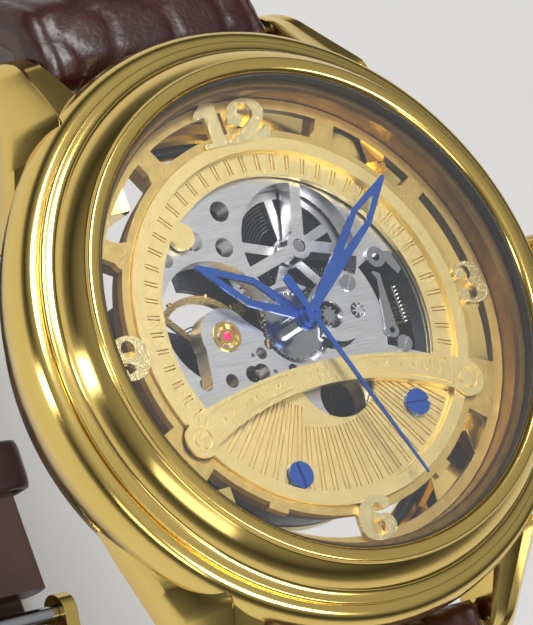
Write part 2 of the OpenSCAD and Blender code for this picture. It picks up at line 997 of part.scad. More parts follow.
module yoke_lever() {
    color(steel)
    plate(plate_top + 0.04, plate_top + 0.26)
    difference() {
        union() {
            translate([7.5, -1.9]) circle(0.55, $fn = 32);
            polygon([
                [7.95, -1.8], [8.1, 1.6], [8.15, 2.2], [7.65, 2.5], [7.5, 2.35], [7.75, 1.9], [7.0, -1.8]
            ]);
        }
        translate([7.5, -1.9]) circle(0.22, $fn = 24);
    }
}

module yoke_spring() {
    color(steel)
    for (i = [0:9])
    translate([8.75, -1.5 + 0.28 * i, plate_top + 0.32])
    rotate([90, 0, 12])
    rotate_extrude($fn = 20)
    translate([0.24, 0])
    circle(0.07, $fn = 8);
    color(steel)
    translate([8.75, -1.6, plate_top + 0.02])
    cube([0.12, 2.8, 0.09]);
}

movement_screw_at = [[5.21, 2.03], [8.18, -2.95]];

module movement_screws() {
    color(steel)
    for (p = movement_screw_at)
    screw(p, 0.6, plate_top + (p.x < 6 ? 0.42 : 0.2), p.x < 6 ? 0.18 : 0.2, 0.3, plate_z + 0.3, 55);
}

module pivot_jewels() {
    color(ruby)
    for (p = [third_at, escape_at, fork_at])
    translate([p.x, p.y, 0])
    ring(0.18, 0.28, bridge_z - 0.6, bridge_z - 0.25, 24);
}

module shock_jewel() {
    color(gold) {
        translate([balance_at.x, balance_at.y, 0])
        ring(0.85, 1.08, plate_top - 0.34, plate_top + 0.12, 48);
        plate(plate_top - 0.08, plate_top + 0.06)
        translate(balance_at)
        difference() {
            union() {
                for (i = [0:2]) rotate(90 + 120 * i) translate([0.42, -0.14]) square([0.45, 0.28]);
                circle(0.55, $fn = 32);
            }
            circle(0.34, $fn = 32);
        }
    }
    color(ruby)
    disc(0.5, plate_top - 0.34, plate_top - 0.1, balance_at, 32);
}

module rotor() {
    color(gold)
    difference() {
        union() {
            plate(1.95, 3.0)
            intersection() {
                annulus(10.2, 12.8);
                wedge(14, 90, 270);
            }
            plate(2.2, 2.6)
            difference() {
                intersection() {
                    circle(10.4, $fn = 128);
                    wedge(14, 90, 270);
                }
                for (i = [-1:1])
                rotate(180 + i * 52)
                intersection() {
                    annulus(3.2, 9.2);
                    wedge(12, -20, 20);
                }
            }
            disc(1.9, 2.2, 2.6, fn = 48);
        }
        disc(1.2, 0, 5, fn = 48);
    }
}

module rotor_bearing() {
    color(steel)
    difference() {
        union() {
            disc(1.15, 2.0, 2.7, fn = 48);
            disc(0.9, 2.6, bridge_z - 0.8, fn = 48);
        }
        translate([-1.5, -0.12, 1.9]) cube([3, 0.24, 0.3]);
    }
}

// ---------- strap ----------

layer_t = 2.6;
tail_t = 2.0;

// A point of the loop: a superellipse, t degrees round from the top
function loop_pt(t, off) =
    let (
        e = 2 / loop_n,
        c = cos(t),
        s = sin(t),
        a = loop_a + off,
        b = loop_b + off
    )
    [a * sign(s) * pow(abs(s), e), -18 + b * sign(c) * pow(abs(c), e)];

module loop_band(t0, t1, o0, o1, steps = 36) {
    polygon(concat(
        [for (i = [0:steps]) loop_pt(t0 + (t1 - t0) * i / steps, o0)],
        [for (i = [steps:-1:0]) loop_pt(t0 + (t1 - t0) * i / steps, o1)]
    ));
}

// Extrudes an outline of Y and Z along X, with the strap's taper
module strap_solid(w_top, w_low) {
    intersection() {
        translate([-15, 0, 0])
        rotate([90, 0, 90])
        linear_extrude(30)
        children();
        rotate([90, 0, 0])
        translate([0, 0, -45])
        linear_extrude(90)
        polygon([
            [-w_top / 2, 10], [w_top / 2, 10], [w_top / 2, 0], [w_low / 2, -44], [w_low / 2, -60],
            [-w_low / 2, -60], [-w_low / 2, -44], [-w_top / 2, 0]
        ]);
    }
}

start_t = 46;
tail_holes = [-1.5, 11, 19];

module bar_bore(s) {
    translate([-15, s * bar_y, bar_z])
    rotate([0, 90, 0])
    cylinder(r = 0.9, h = 30, $fn = 32);
}

module strap_upper() {
    color(leather)
    difference() {
        strap_solid(lug_gap - 0.5, 19) {
            loop_band(start_t, 184.6, -layer_t / 2, layer_t / 2);
            translate([bar_y, bar_z]) circle(2.05, $fn = 40);
            translate(buckle_at) circle(1.4, $fn = 40);
        }
        bar_bore(1);
        translate([-15, buckle_at.x, buckle_at.y])
        rotate([0, 90, 0])
        cylinder(r = 0.72, h = 30, $fn = 32);
        translate([-1, -8, -52]) cube([2, 5, 8]);
    }
}

module strap_lower() {
    color(leather)
    difference() {
        strap_solid(lug_gap - 0.5, 17.4) {
            loop_band(-166, -start_t, -layer_t / 2, layer_t / 2);
            loop_band(-222, -166, 1.4, 1.4 + tail_t);
            polygon(concat(
                [loop_pt(-158, 1.3), loop_pt(-167, 3.4)], [loop_pt(-167, 1.5), loop_pt(-160, -1.2)]
            ));
            translate([-bar_y, bar_z]) circle(2.05, $fn = 40);
        }
        bar_bore(-1);
        translate([-1.1, -14.9, -52]) cube([2.2, 9.2, 7]);
        for (y = tail_holes) translate([0, y, -56]) cylinder(r = 0.8, h = 8, $fn = 24);
    }
}

module spring_bars() {
    color(steel)
    for (s = [-1, 1])
    translate([-lug_gap / 2 - 1.4, s * bar_y, bar_z])
    rotate([0, 90, 0]) {
        cylinder(r = 0.44, h = lug_gap + 2.8, $fn = 24);
        translate([0, 0, 1.7])
        cylinder(r = 0.86, h = lug_gap - 0.6, $fn = 32);
    }
}

// ---------- buckle and keepers ----------

buckle_at = [-5.6, -47];
floor_z = -51.3;
far_bar_at = [-13.4, floor_z + 0.9];
arm_in = 9.9;
arm_out = 11.1;

module across(x0, x1) {
    translate([x0, 0, 0])
    rotate([90, 0, 90])
    linear_extrude(x1 - x0)
    children();
}

module buckle_bar() {
    color(steel)
    across(-arm_out, arm_out) translate(buckle_at) circle(0.68, $fn = 32);
}

module buckle_frame() {
    color(gold) {
        for (x = [-arm_out, arm_in])
        across(x, x + arm_out - arm_in)
        difference() {
            union() {
                translate(buckle_at) circle(1.45, $fn = 40);
                translate(far_bar_at) circle(0.9, $fn = 40);
                polygon([[-5.9, -45.6], [-10.5, -46.9], [-14, -49.8], [-13, -51.2], [-9.5, -49.6], [-5.2, -48.4]]);
            }
            translate(buckle_at) circle(0.74, $fn = 32);
        }
        across(-arm_in - 0.1, arm_in + 0.1) translate(far_bar_at) circle(0.9, $fn = 40);
    }
}

module buckle_tongue() {
    color(gold)
    across(-0.8, 0.8)
    difference() {
        union() {
            translate(buckle_at) circle(1.3, $fn = 40);
            polygon([[-6.2, -46.2], [-13.8, -48.5], [-14.5, -48.7], [-14.6, -49.1], [-13.9, -49.35], [-5.4, -47.9]]);
        }
        translate(buckle_at) circle(0.74, $fn = 32);
    }
}

// A loop of leather round both layers of the strap, w long, at a place on the strap
module keeper(at, tilt, w, z_in, z_out, floor_t) {
    translate([0, at.x, at.y])
    rotate([tilt, 0, 0])
    translate([0, w / 2, 0])
    rotate([90, 0, 0])
    linear_extrude(w)
    difference() {
        translate([-11.1, z_out - floor_t]) square([22.2, z_in - z_out + floor_t + 0.7]);
        translate([-10.2, z_out]) square([20.4, z_in - z_out]);
    }
}

module fixed_keeper() {
    color(leather) keeper([6.2, -47], 2.5, 4, 1.75, -3.6, 0.7);
}

module sliding_keeper() {
    color(leather) keeper([15.4, -45.25], 16, 4, 1.6, -3.75, 0.8);
}

case_body();
bezel();
crystal();
crystal_gasket();
case_back();
back_crystal();
back_gasket();
crown_tube();
inner_flange();
crown();
stem();
crown_gasket();
dial_frame();
chapter_ring();
dial_bridge();
lower_dial_plate();
numerals();
dial_screws();
hour_hand();
minute_hand();
second_hand();
main_plate();
movement_ring();
barrel_drum();
mainspring();
barrel_arbor();
center_wheel();
third_wheel();
fourth_wheel();
escape_wheel();
pallet_fork();
balance_wheel();
hairspring();
balance_cock();
train_bridge();
barrel_bridge();
ratchet_wheel();
crown_wheel();
click();
cannon_pinion();
minute_wheel();
hour_wheel();
motion_cover();
setting_lever();
yoke_lever();
yoke_spring();
movement_screws();
pivot_jewels();
shock_jewel();
rotor();
rotor_bearing();
spring_bars();
strap_upper();
strap_lower();
buckle_frame();
buckle_tongue();
buckle_bar();
fixed_keeper();
sliding_keeper();
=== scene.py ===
"""A gold skeleton wristwatch on a crocodile-grained strap, on a pale floor in soft studio light."""

import json
import math

import bmesh
import bpy
import numpy as np
from mathutils import Matrix, Vector


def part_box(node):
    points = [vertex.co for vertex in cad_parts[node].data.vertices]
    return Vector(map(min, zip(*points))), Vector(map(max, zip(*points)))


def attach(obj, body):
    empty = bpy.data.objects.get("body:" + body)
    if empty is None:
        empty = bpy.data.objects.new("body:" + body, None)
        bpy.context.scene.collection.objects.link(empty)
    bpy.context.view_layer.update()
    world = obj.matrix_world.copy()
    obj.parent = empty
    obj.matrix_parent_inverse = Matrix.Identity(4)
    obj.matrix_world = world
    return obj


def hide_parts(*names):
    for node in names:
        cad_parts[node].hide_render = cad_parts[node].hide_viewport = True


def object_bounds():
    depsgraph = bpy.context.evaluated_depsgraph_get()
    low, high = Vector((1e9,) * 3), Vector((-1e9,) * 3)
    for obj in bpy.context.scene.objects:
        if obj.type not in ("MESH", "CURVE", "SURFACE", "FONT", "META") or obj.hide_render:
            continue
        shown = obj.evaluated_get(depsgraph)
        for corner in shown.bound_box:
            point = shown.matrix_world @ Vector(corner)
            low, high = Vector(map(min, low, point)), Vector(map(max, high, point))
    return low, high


MM = 0.001

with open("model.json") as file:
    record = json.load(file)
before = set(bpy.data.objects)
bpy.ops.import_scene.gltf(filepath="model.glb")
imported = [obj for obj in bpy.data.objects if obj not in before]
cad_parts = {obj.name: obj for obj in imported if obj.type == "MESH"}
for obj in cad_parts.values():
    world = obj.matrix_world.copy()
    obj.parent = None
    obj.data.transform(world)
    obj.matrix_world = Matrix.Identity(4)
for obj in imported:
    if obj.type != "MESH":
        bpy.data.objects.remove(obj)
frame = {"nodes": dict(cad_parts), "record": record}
cad_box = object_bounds()
nodes = frame["nodes"]
Z = Vector((0, 0, 1))


# ---------- places worked out from the frame ----------

RIM_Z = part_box("chapter_ring")[1].z
BEZEL_LOW, BEZEL_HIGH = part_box("bezel")
STRAP_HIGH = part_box("strap_upper")[1]
FLOOR_Z = cad_box[0].z


# ---------- materials ----------


def new_material(name):
    mat = bpy.data.materials.new(name)
    mat.use_nodes = True
    tree = mat.node_tree
    return mat, tree, tree.nodes["Principled BSDF"]


def add(tree, kind, **values):
    """A shader node with its named inputs set."""
    n = tree.nodes.new(kind)
    for key, value in values.items():
        n.inputs[key.replace("_", " ")].default_value = value
    return n


def coordinates(tree, scale=(1, 1, 1), turn=(0, 0, 0)):
    """Object coordinates in metres, scaled to the grain."""
    where = tree.nodes.new("ShaderNodeTexCoord")
    place = add(tree, "ShaderNodeMapping", Scale=scale, Rotation=turn)
    tree.links.new(where.outputs["Object"], place.inputs["Vector"])
    return place.outputs["Vector"]


def noise(tree, where, scale, detail=4.0, rough=0.6):
    n = add(tree, "ShaderNodeTexNoise", Scale=scale, Detail=detail, Roughness=rough)
    tree.links.new(where, n.inputs["Vector"])
    return n.outputs["Fac"]


def spread(tree, value, low, high):
    """Maps 0..1 to low..high."""
    n = add(tree, "ShaderNodeMapRange", To_Min=low, To_Max=high)
    tree.links.new(value, n.inputs["Value"])
    return n.outputs["Result"]


def two_tone(tree, value, dark, light):
    ramp = tree.nodes.new("ShaderNodeValToRGB")
    ramp.color_ramp.elements[0].color = (*dark, 1)
    ramp.color_ramp.elements[1].color = (*light, 1)
    tree.links.new(value, ramp.inputs["Fac"])
    return ramp.outputs["Color"]


def bump(tree, height, strength, distance, shader, below=None):
    n = add(tree, "ShaderNodeBump", Strength=strength, Distance=distance)
    tree.links.new(height, n.inputs["Height"])
    if below is not None:
        tree.links.new(below, n.inputs["Normal"])
    tree.links.new(n.outputs["Normal"], shader.inputs["Normal"])
    return n.outputs["Normal"]


def polished_metal(name, dark, light, rough=(0.05, 0.11), ripple=0.02):
    """Polished plating: faint smears in its gloss and a hint of waviness."""
    mat, tree, shader = new_material(name)
    shader.inputs["Metallic"].default_value = 1
    where = coordinates(tree)
    tree.links.new(two_tone(tree, noise(tree, where, 90), dark, light), shader.inputs["Base Color"])
    smear = noise(tree, coordinates(tree, (1, 1, 3)), 420, 6)
    tree.links.new(spread(tree, smear, *rough), shader.inputs["Roughness"])
    bump(tree, noise(tree, where, 160, 2), ripple, 0.0002, shader)
    return mat


def sanded_metal(name, dark, light, rough=(0.3, 0.46), grain=5200):
    """Fine sandblasted plating, which sparkles at close range."""
    mat, tree, shader = new_material(name)
    shader.inputs["Metallic"].default_value = 1
    where = coordinates(tree)
    tree.links.new(two_tone(tree, noise(tree, where, 900), dark, light), shader.inputs["Base Color"])
    tree.links.new(spread(tree, noise(tree, where, 2600), *rough), shader.inputs["Roughness"])
    bump(tree, noise(tree, where, grain, 3, 0.8), 0.55, 0.00006, shader)
    return mat


def brushed_metal(name, dark, light, rough=(0.22, 0.4), turn=-24, lines=9000, depth=0.35):
    """Straight brushing in one direction."""
    mat, tree, shader = new_material(name)
    shader.inputs["Metallic"].default_value = 1
    along = coordinates(tree, (0.04, 1, 0.04), (0, 0, math.radians(turn)))
    streak = noise(tree, along, lines, 5, 0.7)
    tree.links.new(two_tone(tree, streak, dark, light), shader.inputs["Base Color"])
    tree.links.new(spread(tree, streak, *rough), shader.inputs["Roughness"])
    bump(tree, streak, depth, 0.00004, shader)
    return mat


def blued_steel():
    mat, tree, shader = new_material("blued_steel")
    shader.inputs["Metallic"].default_value = 0.75
    shader.inputs["Coat Weight"].default_value = 0.6
    shader.inputs["Coat Roughness"].default_value = 0.06
    where = coordinates(tree)
    colour = two_tone(tree, noise(tree, where, 300), (0.004, 0.05, 0.34), (0.012, 0.13, 0.55))
    tree.links.new(colour, shader.inputs["Base Color"])
    tree.links.new(spread(tree, noise(tree, where, 1500), 0.22, 0.34), shader.inputs["Roughness"])
    bump(tree, noise(tree, where, 3500, 2), 0.12, 0.00003, shader)
    return mat


def glass():
    """Clear crystal: nearly all see-through, with a faint hard gloss."""
    mat, tree, shader = new_material("crystal_glass")
    shader.inputs["Base Color"].default_value = (0.9, 0.95, 1, 1)
    shader.inputs["Alpha"].default_value = 0.02
    shader.inputs["Specular IOR Level"].default_value = 0.5
    where = coordinates(tree)
    tree.links.new(spread(tree, noise(tree, where, 60), 0.02, 0.05), shader.inputs["Roughness"])
    return mat


def rubber():
    mat, tree, shader = new_material("black_seal")
    where = coordinates(tree)
    colour = two_tone(tree, noise(tree, where, 700), (0.012, 0.012, 0.012), (0.03, 0.03, 0.03))
    tree.links.new(colour, shader.inputs["Base Color"])
    tree.links.new(spread(tree, noise(tree, where, 1500), 0.5, 0.7), shader.inputs["Roughness"])
    bump(tree, noise(tree, where, 4000), 0.2, 0.00004, shader)
    return mat


def ruby():
    mat, tree, shader = new_material("ruby")
    shader.inputs["Coat Weight"].default_value = 1
    # The faint red emission is a painted glow: the jewel gives off light though it is no lamp
    shader.inputs["Emission Strength"].default_value = 0.12
    shader.inputs["Emission Color"].default_value = (0.9, 0.02, 0.2, 1)
    where = coordinates(tree)
    colour = two_tone(tree, noise(tree, where, 900), (0.45, 0.0, 0.07), (0.85, 0.02, 0.22))
    tree.links.new(colour, shader.inputs["Base Color"])
    tree.links.new(spread(tree, noise(tree, where, 1200), 0.04, 0.12), shader.inputs["Roughness"])
    return mat


def crocodile_leather(name, dark, light, gloss=(0.28, 0.5)):
    """Dyed leather with fine pores and creases; its scales are in the mesh."""
    mat, tree, shader = new_material(name)
    shader.inputs["Coat Weight"].default_value = 0.25
    shader.inputs["Coat Roughness"].default_value = 0.3
    where = coordinates(tree)
    mottle = noise(tree, where, 260, 5)
    tree.links.new(two_tone(tree, mottle, dark, light), shader.inputs["Base Color"])
    tree.links.new(spread(tree, noise(tree, where, 900), *gloss), shader.inputs["Roughness"])
    crease = add(tree, "ShaderNodeTexVoronoi", Scale=1500)
    crease.feature = "DISTANCE_TO_EDGE"
    tree.links.new(where, crease.inputs["Vector"])
    fine = bump(tree, crease.outputs["Distance"], 0.35, 0.0001, shader)
    bump(tree, noise(tree, where, 3600, 4), 0.3, 0.00006, shader, below=fine)
    return mat


GOLD = ((0.80, 0.57, 0.15), (0.91, 0.68, 0.22))
MATERIALS = {
    "polished_gold": polished_metal("polished_gold", *GOLD, (0.12, 0.18)),
    "matte_gold": sanded_metal("matte_gold", (0.45, 0.31, 0.09), (0.74, 0.54, 0.18)),
    "brushed_gold": sanded_metal("brushed_gold", (0.72, 0.56, 0.22), (0.88, 0.71, 0.32), (0.3, 0.42)),
    "brushed_plate": brushed_metal("brushed_plate", (0.45, 0.45, 0.46), (0.95, 0.95, 0.96)),
    "polished_steel": polished_metal("polished_steel", (0.36, 0.37, 0.39), (0.62, 0.63, 0.65), (0.12, 0.22)),
    "brass_wheels": brushed_metal("brass_wheels", (0.42, 0.28, 0.08), (0.7, 0.5, 0.2), (0.2, 0.34), 40),
    "blued_steel": blued_steel(),
    # The bridges' near-black plate is painted shade: it darkens the movement seen through the dial's openings
    "dark_plate": brushed_metal("dark_plate", (0.035, 0.035, 0.04), (0.11, 0.11, 0.12), (0.25, 0.4), 60),
    "dark_steel": polished_metal("dark_steel", (0.03, 0.03, 0.035), (0.10, 0.10, 0.11), (0.2, 0.32)),
    "glass": glass(),
    "seal": rubber(),
    "ruby": ruby(),
    "leather": crocodile_leather("leather", (0.014, 0.002, 0.002), (0.048, 0.007, 0.006)),
}
# Darker gold for the rings under the dial: painted shade, standing in for the shade the dial casts on them
PAINTED_SHADE_GOLD = sanded_metal("painted_shade_gold", (0.16, 0.09, 0.02), (0.3, 0.18, 0.045), (0.3, 0.42))
PALE_GOLD = sanded_metal("pale_gold", (0.86, 0.70, 0.32), (0.96, 0.82, 0.44), (0.2, 0.3))
LINING = crocodile_leather("lining", (0.05, 0.02, 0.012), (0.11, 0.05, 0.03), (0.5, 0.7))
THREAD = crocodile_leather("thread", (0.04, 0.008, 0.008), (0.1, 0.02, 0.018), (0.5, 0.7))


def shade_smooth(mesh, degrees=30):
    mesh.polygons.foreach_set("use_smooth", [True] * len(mesh.polygons))
    mesh.set_sharp_from_angle(angle=math.radians(degrees))


def finish_cad_nodes():
    """Gives every CAD node the material of its slot in the record."""
    for part in frame["record"]["subparts"]:
        piece = nodes[part["node"]]
        piece.data.materials.clear()
        piece.data.materials.append(MATERIALS[part["material_slot"]])


def tone_gold():
    """The rings under the dial get a darker gold that is painted shade where the dial shades them, and the
    numerals a paler gold.
    """
    for name, mat in (("inner_flange", PAINTED_SHADE_GOLD), ("movement_ring", PAINTED_SHADE_GOLD), ("numerals", PALE_GOLD)):
        nodes[name].data.materials.clear()
        nodes[name].data.materials.append(mat)


def redden_jewel():
    """The balance's jewel is red under its gold spring."""
    low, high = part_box("shock_jewel")
    mid = (low + high) / 2
    piece = nodes["shock_jewel"]
    piece.data.materials.append(MATERIALS["ruby"])
    for face in piece.data.polygons:
        at = piece.matrix_world @ face.center
        off = math.hypot(at.x - mid.x, at.y - mid.y)
        if off < 0.52 * MM and at.z < high.z - 0.21 * MM:
            face.material_index = 1


# ---------- mesh helpers ----------


def new_piece(name, points, faces, body, materials, smooth=40):
    mesh = bpy.data.meshes.new(name)
    mesh.from_pydata([tuple(p) for p in points], [], faces)
    mesh.validate()
    for mat in materials:
        mesh.materials.append(mat)
    piece = bpy.data.objects.new(name, mesh)
    bpy.context.scene.collection.objects.link(piece)
    shade_smooth(mesh, smooth)
    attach(piece, body)
    return piece


def lathe(name, outline, body, slot, turns=256, smooth=35):
    """Turns a closed outline of (radius, height) about Z."""
    n = len(outline)
    angles = [2 * math.pi * i / turns for i in range(turns)]
    points = [(r * math.cos(a), r * math.sin(a), z) for a in angles for r, z in outline]
    faces = [
        (i * n + j, ((i + 1) % turns) * n + j, ((i + 1) % turns) * n + (j + 1) % n, i * n + (j + 1) % n)
        for i in range(turns)
        for j in range(n)
    ]
    return new_piece(name, points, faces, body, [MATERIALS[slot]], smooth)


def bezier(p0, p1, p2, p3, steps):
    """Points along a cubic curve, its first point left out."""
    out = []
    for i in range(1, steps + 1):
        t = i / steps
        s = 1 - t
        w = (s**3, 3 * s * s * t, 3 * s * t * t, t**3)
        out.append(tuple(sum(k * p[c] for k, p in zip(w, (p0, p1, p2, p3))) for c in range(2)))
    return out


# ---------- bezel ----------


def smooth_bezel():
    """The bezel's stepped slope, turned with round edges and an unbroken concave sweep."""
    low = BEZEL_LOW.z / MM
    top = BEZEL_HIGH.z / MM
    out = BEZEL_HIGH.x / MM
    edge = [(17.15, low), (out - 0.12, low)]
    edge += bezier(edge[-1], (out, low), (out, low + 0.28), (out - 0.15, low + 0.3), 6)
    edge += bezier(edge[-1], (19.95, low + 0.33), (19.6, low + 0.36), (19.5, low + 0.62), 8)
    edge += bezier(edge[-1], (19.3, low + 1.25), (18.95, low + 1.75), (18.32, low + 2.3), 16)
    edge += bezier(edge[-1], (18.22, low + 2.38), (18.2, low + 2.44), (18.2, low + 2.5), 4)
    edge += bezier(edge[-1], (18.2, top - 0.1), (18.14, top), (18.0, top), 6)
    edge += bezier(edge[-1], (17.8, top + 0.02), (17.6, top + 0.02), (17.4, top), 5)
    edge += bezier(edge[-1], (17.32, top - 0.02), (17.2, top - 0.12), (17.1, top - 0.3), 5)
    edge += [(17.1, low + 0.6), (17.15, low + 0.5)]
    piece = lathe("bezel_turned", [(r * MM, z * MM) for r, z in edge], "watch", "polished_gold", 384)
    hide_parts("bezel")


# ---------- middle case ----------

CASE_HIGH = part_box("case_body")[1]
LUG_IN = 10.0
LUG_TOP = RIM_Z / MM - 0.35
LUG_TIP = 23.75
SLOPE_FROM = 17.4
SLOPE = 0.84


def smooth_case():
    """The bulging band, turned from a smooth outline, and four lofted lugs."""
    rim = RIM_Z / MM
    wide = CASE_HIGH.x / MM
    mid = rim - 2.3
    outline = [(17.2, rim - 0.05), (20.3, rim - 0.05)]
    for i in range(1, 33):
        a = math.pi / 2 * (1 - i / 32)
        outline.append((20.5 + (wide - 20.5) * math.cos(a) ** 0.8, mid + 2.2 * math.sin(a)))
    for i in range(1, 33):
        outline.append((19.5 + (wide - 19.5) * (1 - (i / 32) ** 1.4), mid - (mid - 2.2) * i / 32))
    outline += [(18.6, 0.7), (18.1, 0.7), (18.1, 1.65), (17.2, 1.65)]
    band = lathe("case_band", [(r * MM, z * MM) for r, z in outline], "watch", "polished_gold", 384, 40)
    lugs = case_lugs()
    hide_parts("case_body")
    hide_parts("case_body")


def lug_section(y):
    """A lug's outline across X and Z at a distance y from the dial's centre: a broad face that leans in
    to the strap, a ridge, and a broad outer face."""
    low = 3.5 - 2.3 * min(max((y - 9) / 12, 0), 1)
    round_off = math.sqrt(max(1 - max((y - LUG_TIP + 1.7) / 1.72, 0) ** 2, 0))
    middle = low + 1.1
    top = LUG_TOP - SLOPE * max(y - SLOPE_FROM, 0)
    top = middle + (top - middle) * round_off
    low = middle - (middle - low) * round_off
    out = min(17.4 - 0.36 * (y - 12.9), 19 - 0.42 * (y - 9))
    out -= 0.9 * (1 - round_off)
    ridge = LUG_IN + 0.56 * (out - LUG_IN)
    tall = top - low
    return [
        (LUG_IN, low + 0.1 * tall), (LUG_IN, top - 0.1 * tall), (LUG_IN + 0.2, top - 0.01 * tall),
        (LUG_IN + 0.45 * (ridge - LUG_IN), top - 0.07 * tall), (ridge - 0.5, top - 0.1 * tall),
        (ridge, top - 0.03 * tall), (ridge + 0.3, top - 0.08 * tall), (out - 0.3, low + 0.58 * tall),
        (out, low + 0.46 * tall), (out - 0.3, low + 0.12 * tall), (out - 1.0, low), (LUG_IN + 0.4, low),
    ]


def case_lugs():
    stations = [10 + (LUG_TIP - 1.8 - 10) * i / 26 for i in range(26)]
    stations += [LUG_TIP - 1.7 + 1.69 * math.sin(math.pi / 2 * i / 14) for i in range(15)]
    points, faces = [], []
    for sx in (-1, 1):
        for sy in (-1, 1):
            base = len(points)
            n = len(lug_section(12))
            for y in stations:
                points += [(sx * x * MM, sy * y * MM, z * MM) for x, z in lug_section(y)]
            for i in range(len(stations) - 1):
                for j in range(n):
                    a, b = base + i * n + j, base + i * n + (j + 1) % n
                    faces.append((a, b, b + n, a + n))
            faces.append(tuple(base + j for j in range(n)))
            faces.append(tuple(base + (len(stations) - 1) * n + j for j in range(n)))
    piece = new_piece("case_lugs", points, faces, "watch", [MATERIALS["polished_gold"]], 50)
    fix_normals(piece)
    soften = piece.modifiers.new("edges", "BEVEL")
    soften.width = 0.12 * MM
    soften.segments = 3
    soften.limit_method = "ANGLE"
    soften.angle_limit = math.radians(24)
    soften.harden_normals = False
    return piece


# ---------- strap ----------

LAYER = 2.6
BAR = Vector((0, 22.5, 3.0))
LOOP_N = 2.8
LOOP_A = STRAP_HIGH.y / MM - LAYER / 2
LOOP_B = 29.0
LOOP_MID = -18.0
# Half the thickness of the strap's round end, and the line on which its stitches lie
NOSE = 2.05
STITCH_IN = 1.55
# Crocodile scales: length and width in the middle, length at the sides, and the width of a groove
SCALE_LONG = 3.9
SCALE_WIDE = 4.9
SIDE_SCALE = 2.5
GROOVE_WIDTH = 0.42


def loop_offset(t, off):
    """A point of the loop set outward by off, t degrees round from the top, as (y, z)."""
    e = 2 / LOOP_N
    s, c = math.sin(math.radians(t)), math.cos(math.radians(t))
    return (
        (LOOP_A + off) * math.copysign(abs(s) ** e, s),
        LOOP_MID + (LOOP_B + off) * math.copysign(abs(c) ** e, c),
    )


def loop_mid(t):
    """A point on the strap's middle line."""
    return loop_offset(t, 0)


def even_path(points, step):
    """The same line with points a fixed step apart, its tangents and its outward normals."""
    p = np.array(points, float)
    along = np.concatenate([[0], np.cumsum(np.hypot(*np.diff(p, axis=0).T))])
    s = np.linspace(0, along[-1], int(along[-1] / step) + 1)
    q = np.stack([np.interp(s, along, p[:, k]) for k in (0, 1)], 1)
    d = np.gradient(q, axis=0)
    for _ in range(6):
        d[1:-1] = (d[:-2] + d[1:-1] + d[2:]) / 3
    d /= np.hypot(*d.T)[:, None]
    return s, q, d


def scale_grooves(s, x, seed):
    """Depth, 0 to 1, of the grooves between crocodile scales at (s, x): large square scales down the
    middle, small round ones at the sides."""
    rng = np.random.default_rng(seed)
    centres = []
    for row, at in enumerate(np.arange(s.min() - 5, s.max() + 5, SCALE_LONG)):
        for k in range(-1, 2):
            shift = 0.5 * SCALE_WIDE * (row % 2)
            across = SCALE_WIDE * k + shift - 1.2
            centres.append((at + rng.uniform(-0.3, 0.3), across + rng.uniform(-0.3, 0.3)))
    for at in np.arange(s.min() - 5, s.max() + 5, SIDE_SCALE):
        for side in (-1, 1):
            for d in (8.0, 10.4):
                centres.append((at + rng.uniform(-0.4, 0.4), side * (d + rng.uniform(-0.3, 0.3))))
    near = np.full((2,) + s.shape, 1e9)
    for a, b in np.array(centres):
        dist = np.sqrt(((s - a) * 1.15) ** 2 + (x - b) ** 2)
        first = dist < near[0]
        near[1] = np.where(first, near[0], np.minimum(near[1], dist))
        near[0] = np.where(first, dist, near[0])
    gap = near[1] - near[0]
    return np.exp(-((gap / GROOVE_WIDTH) ** 2))


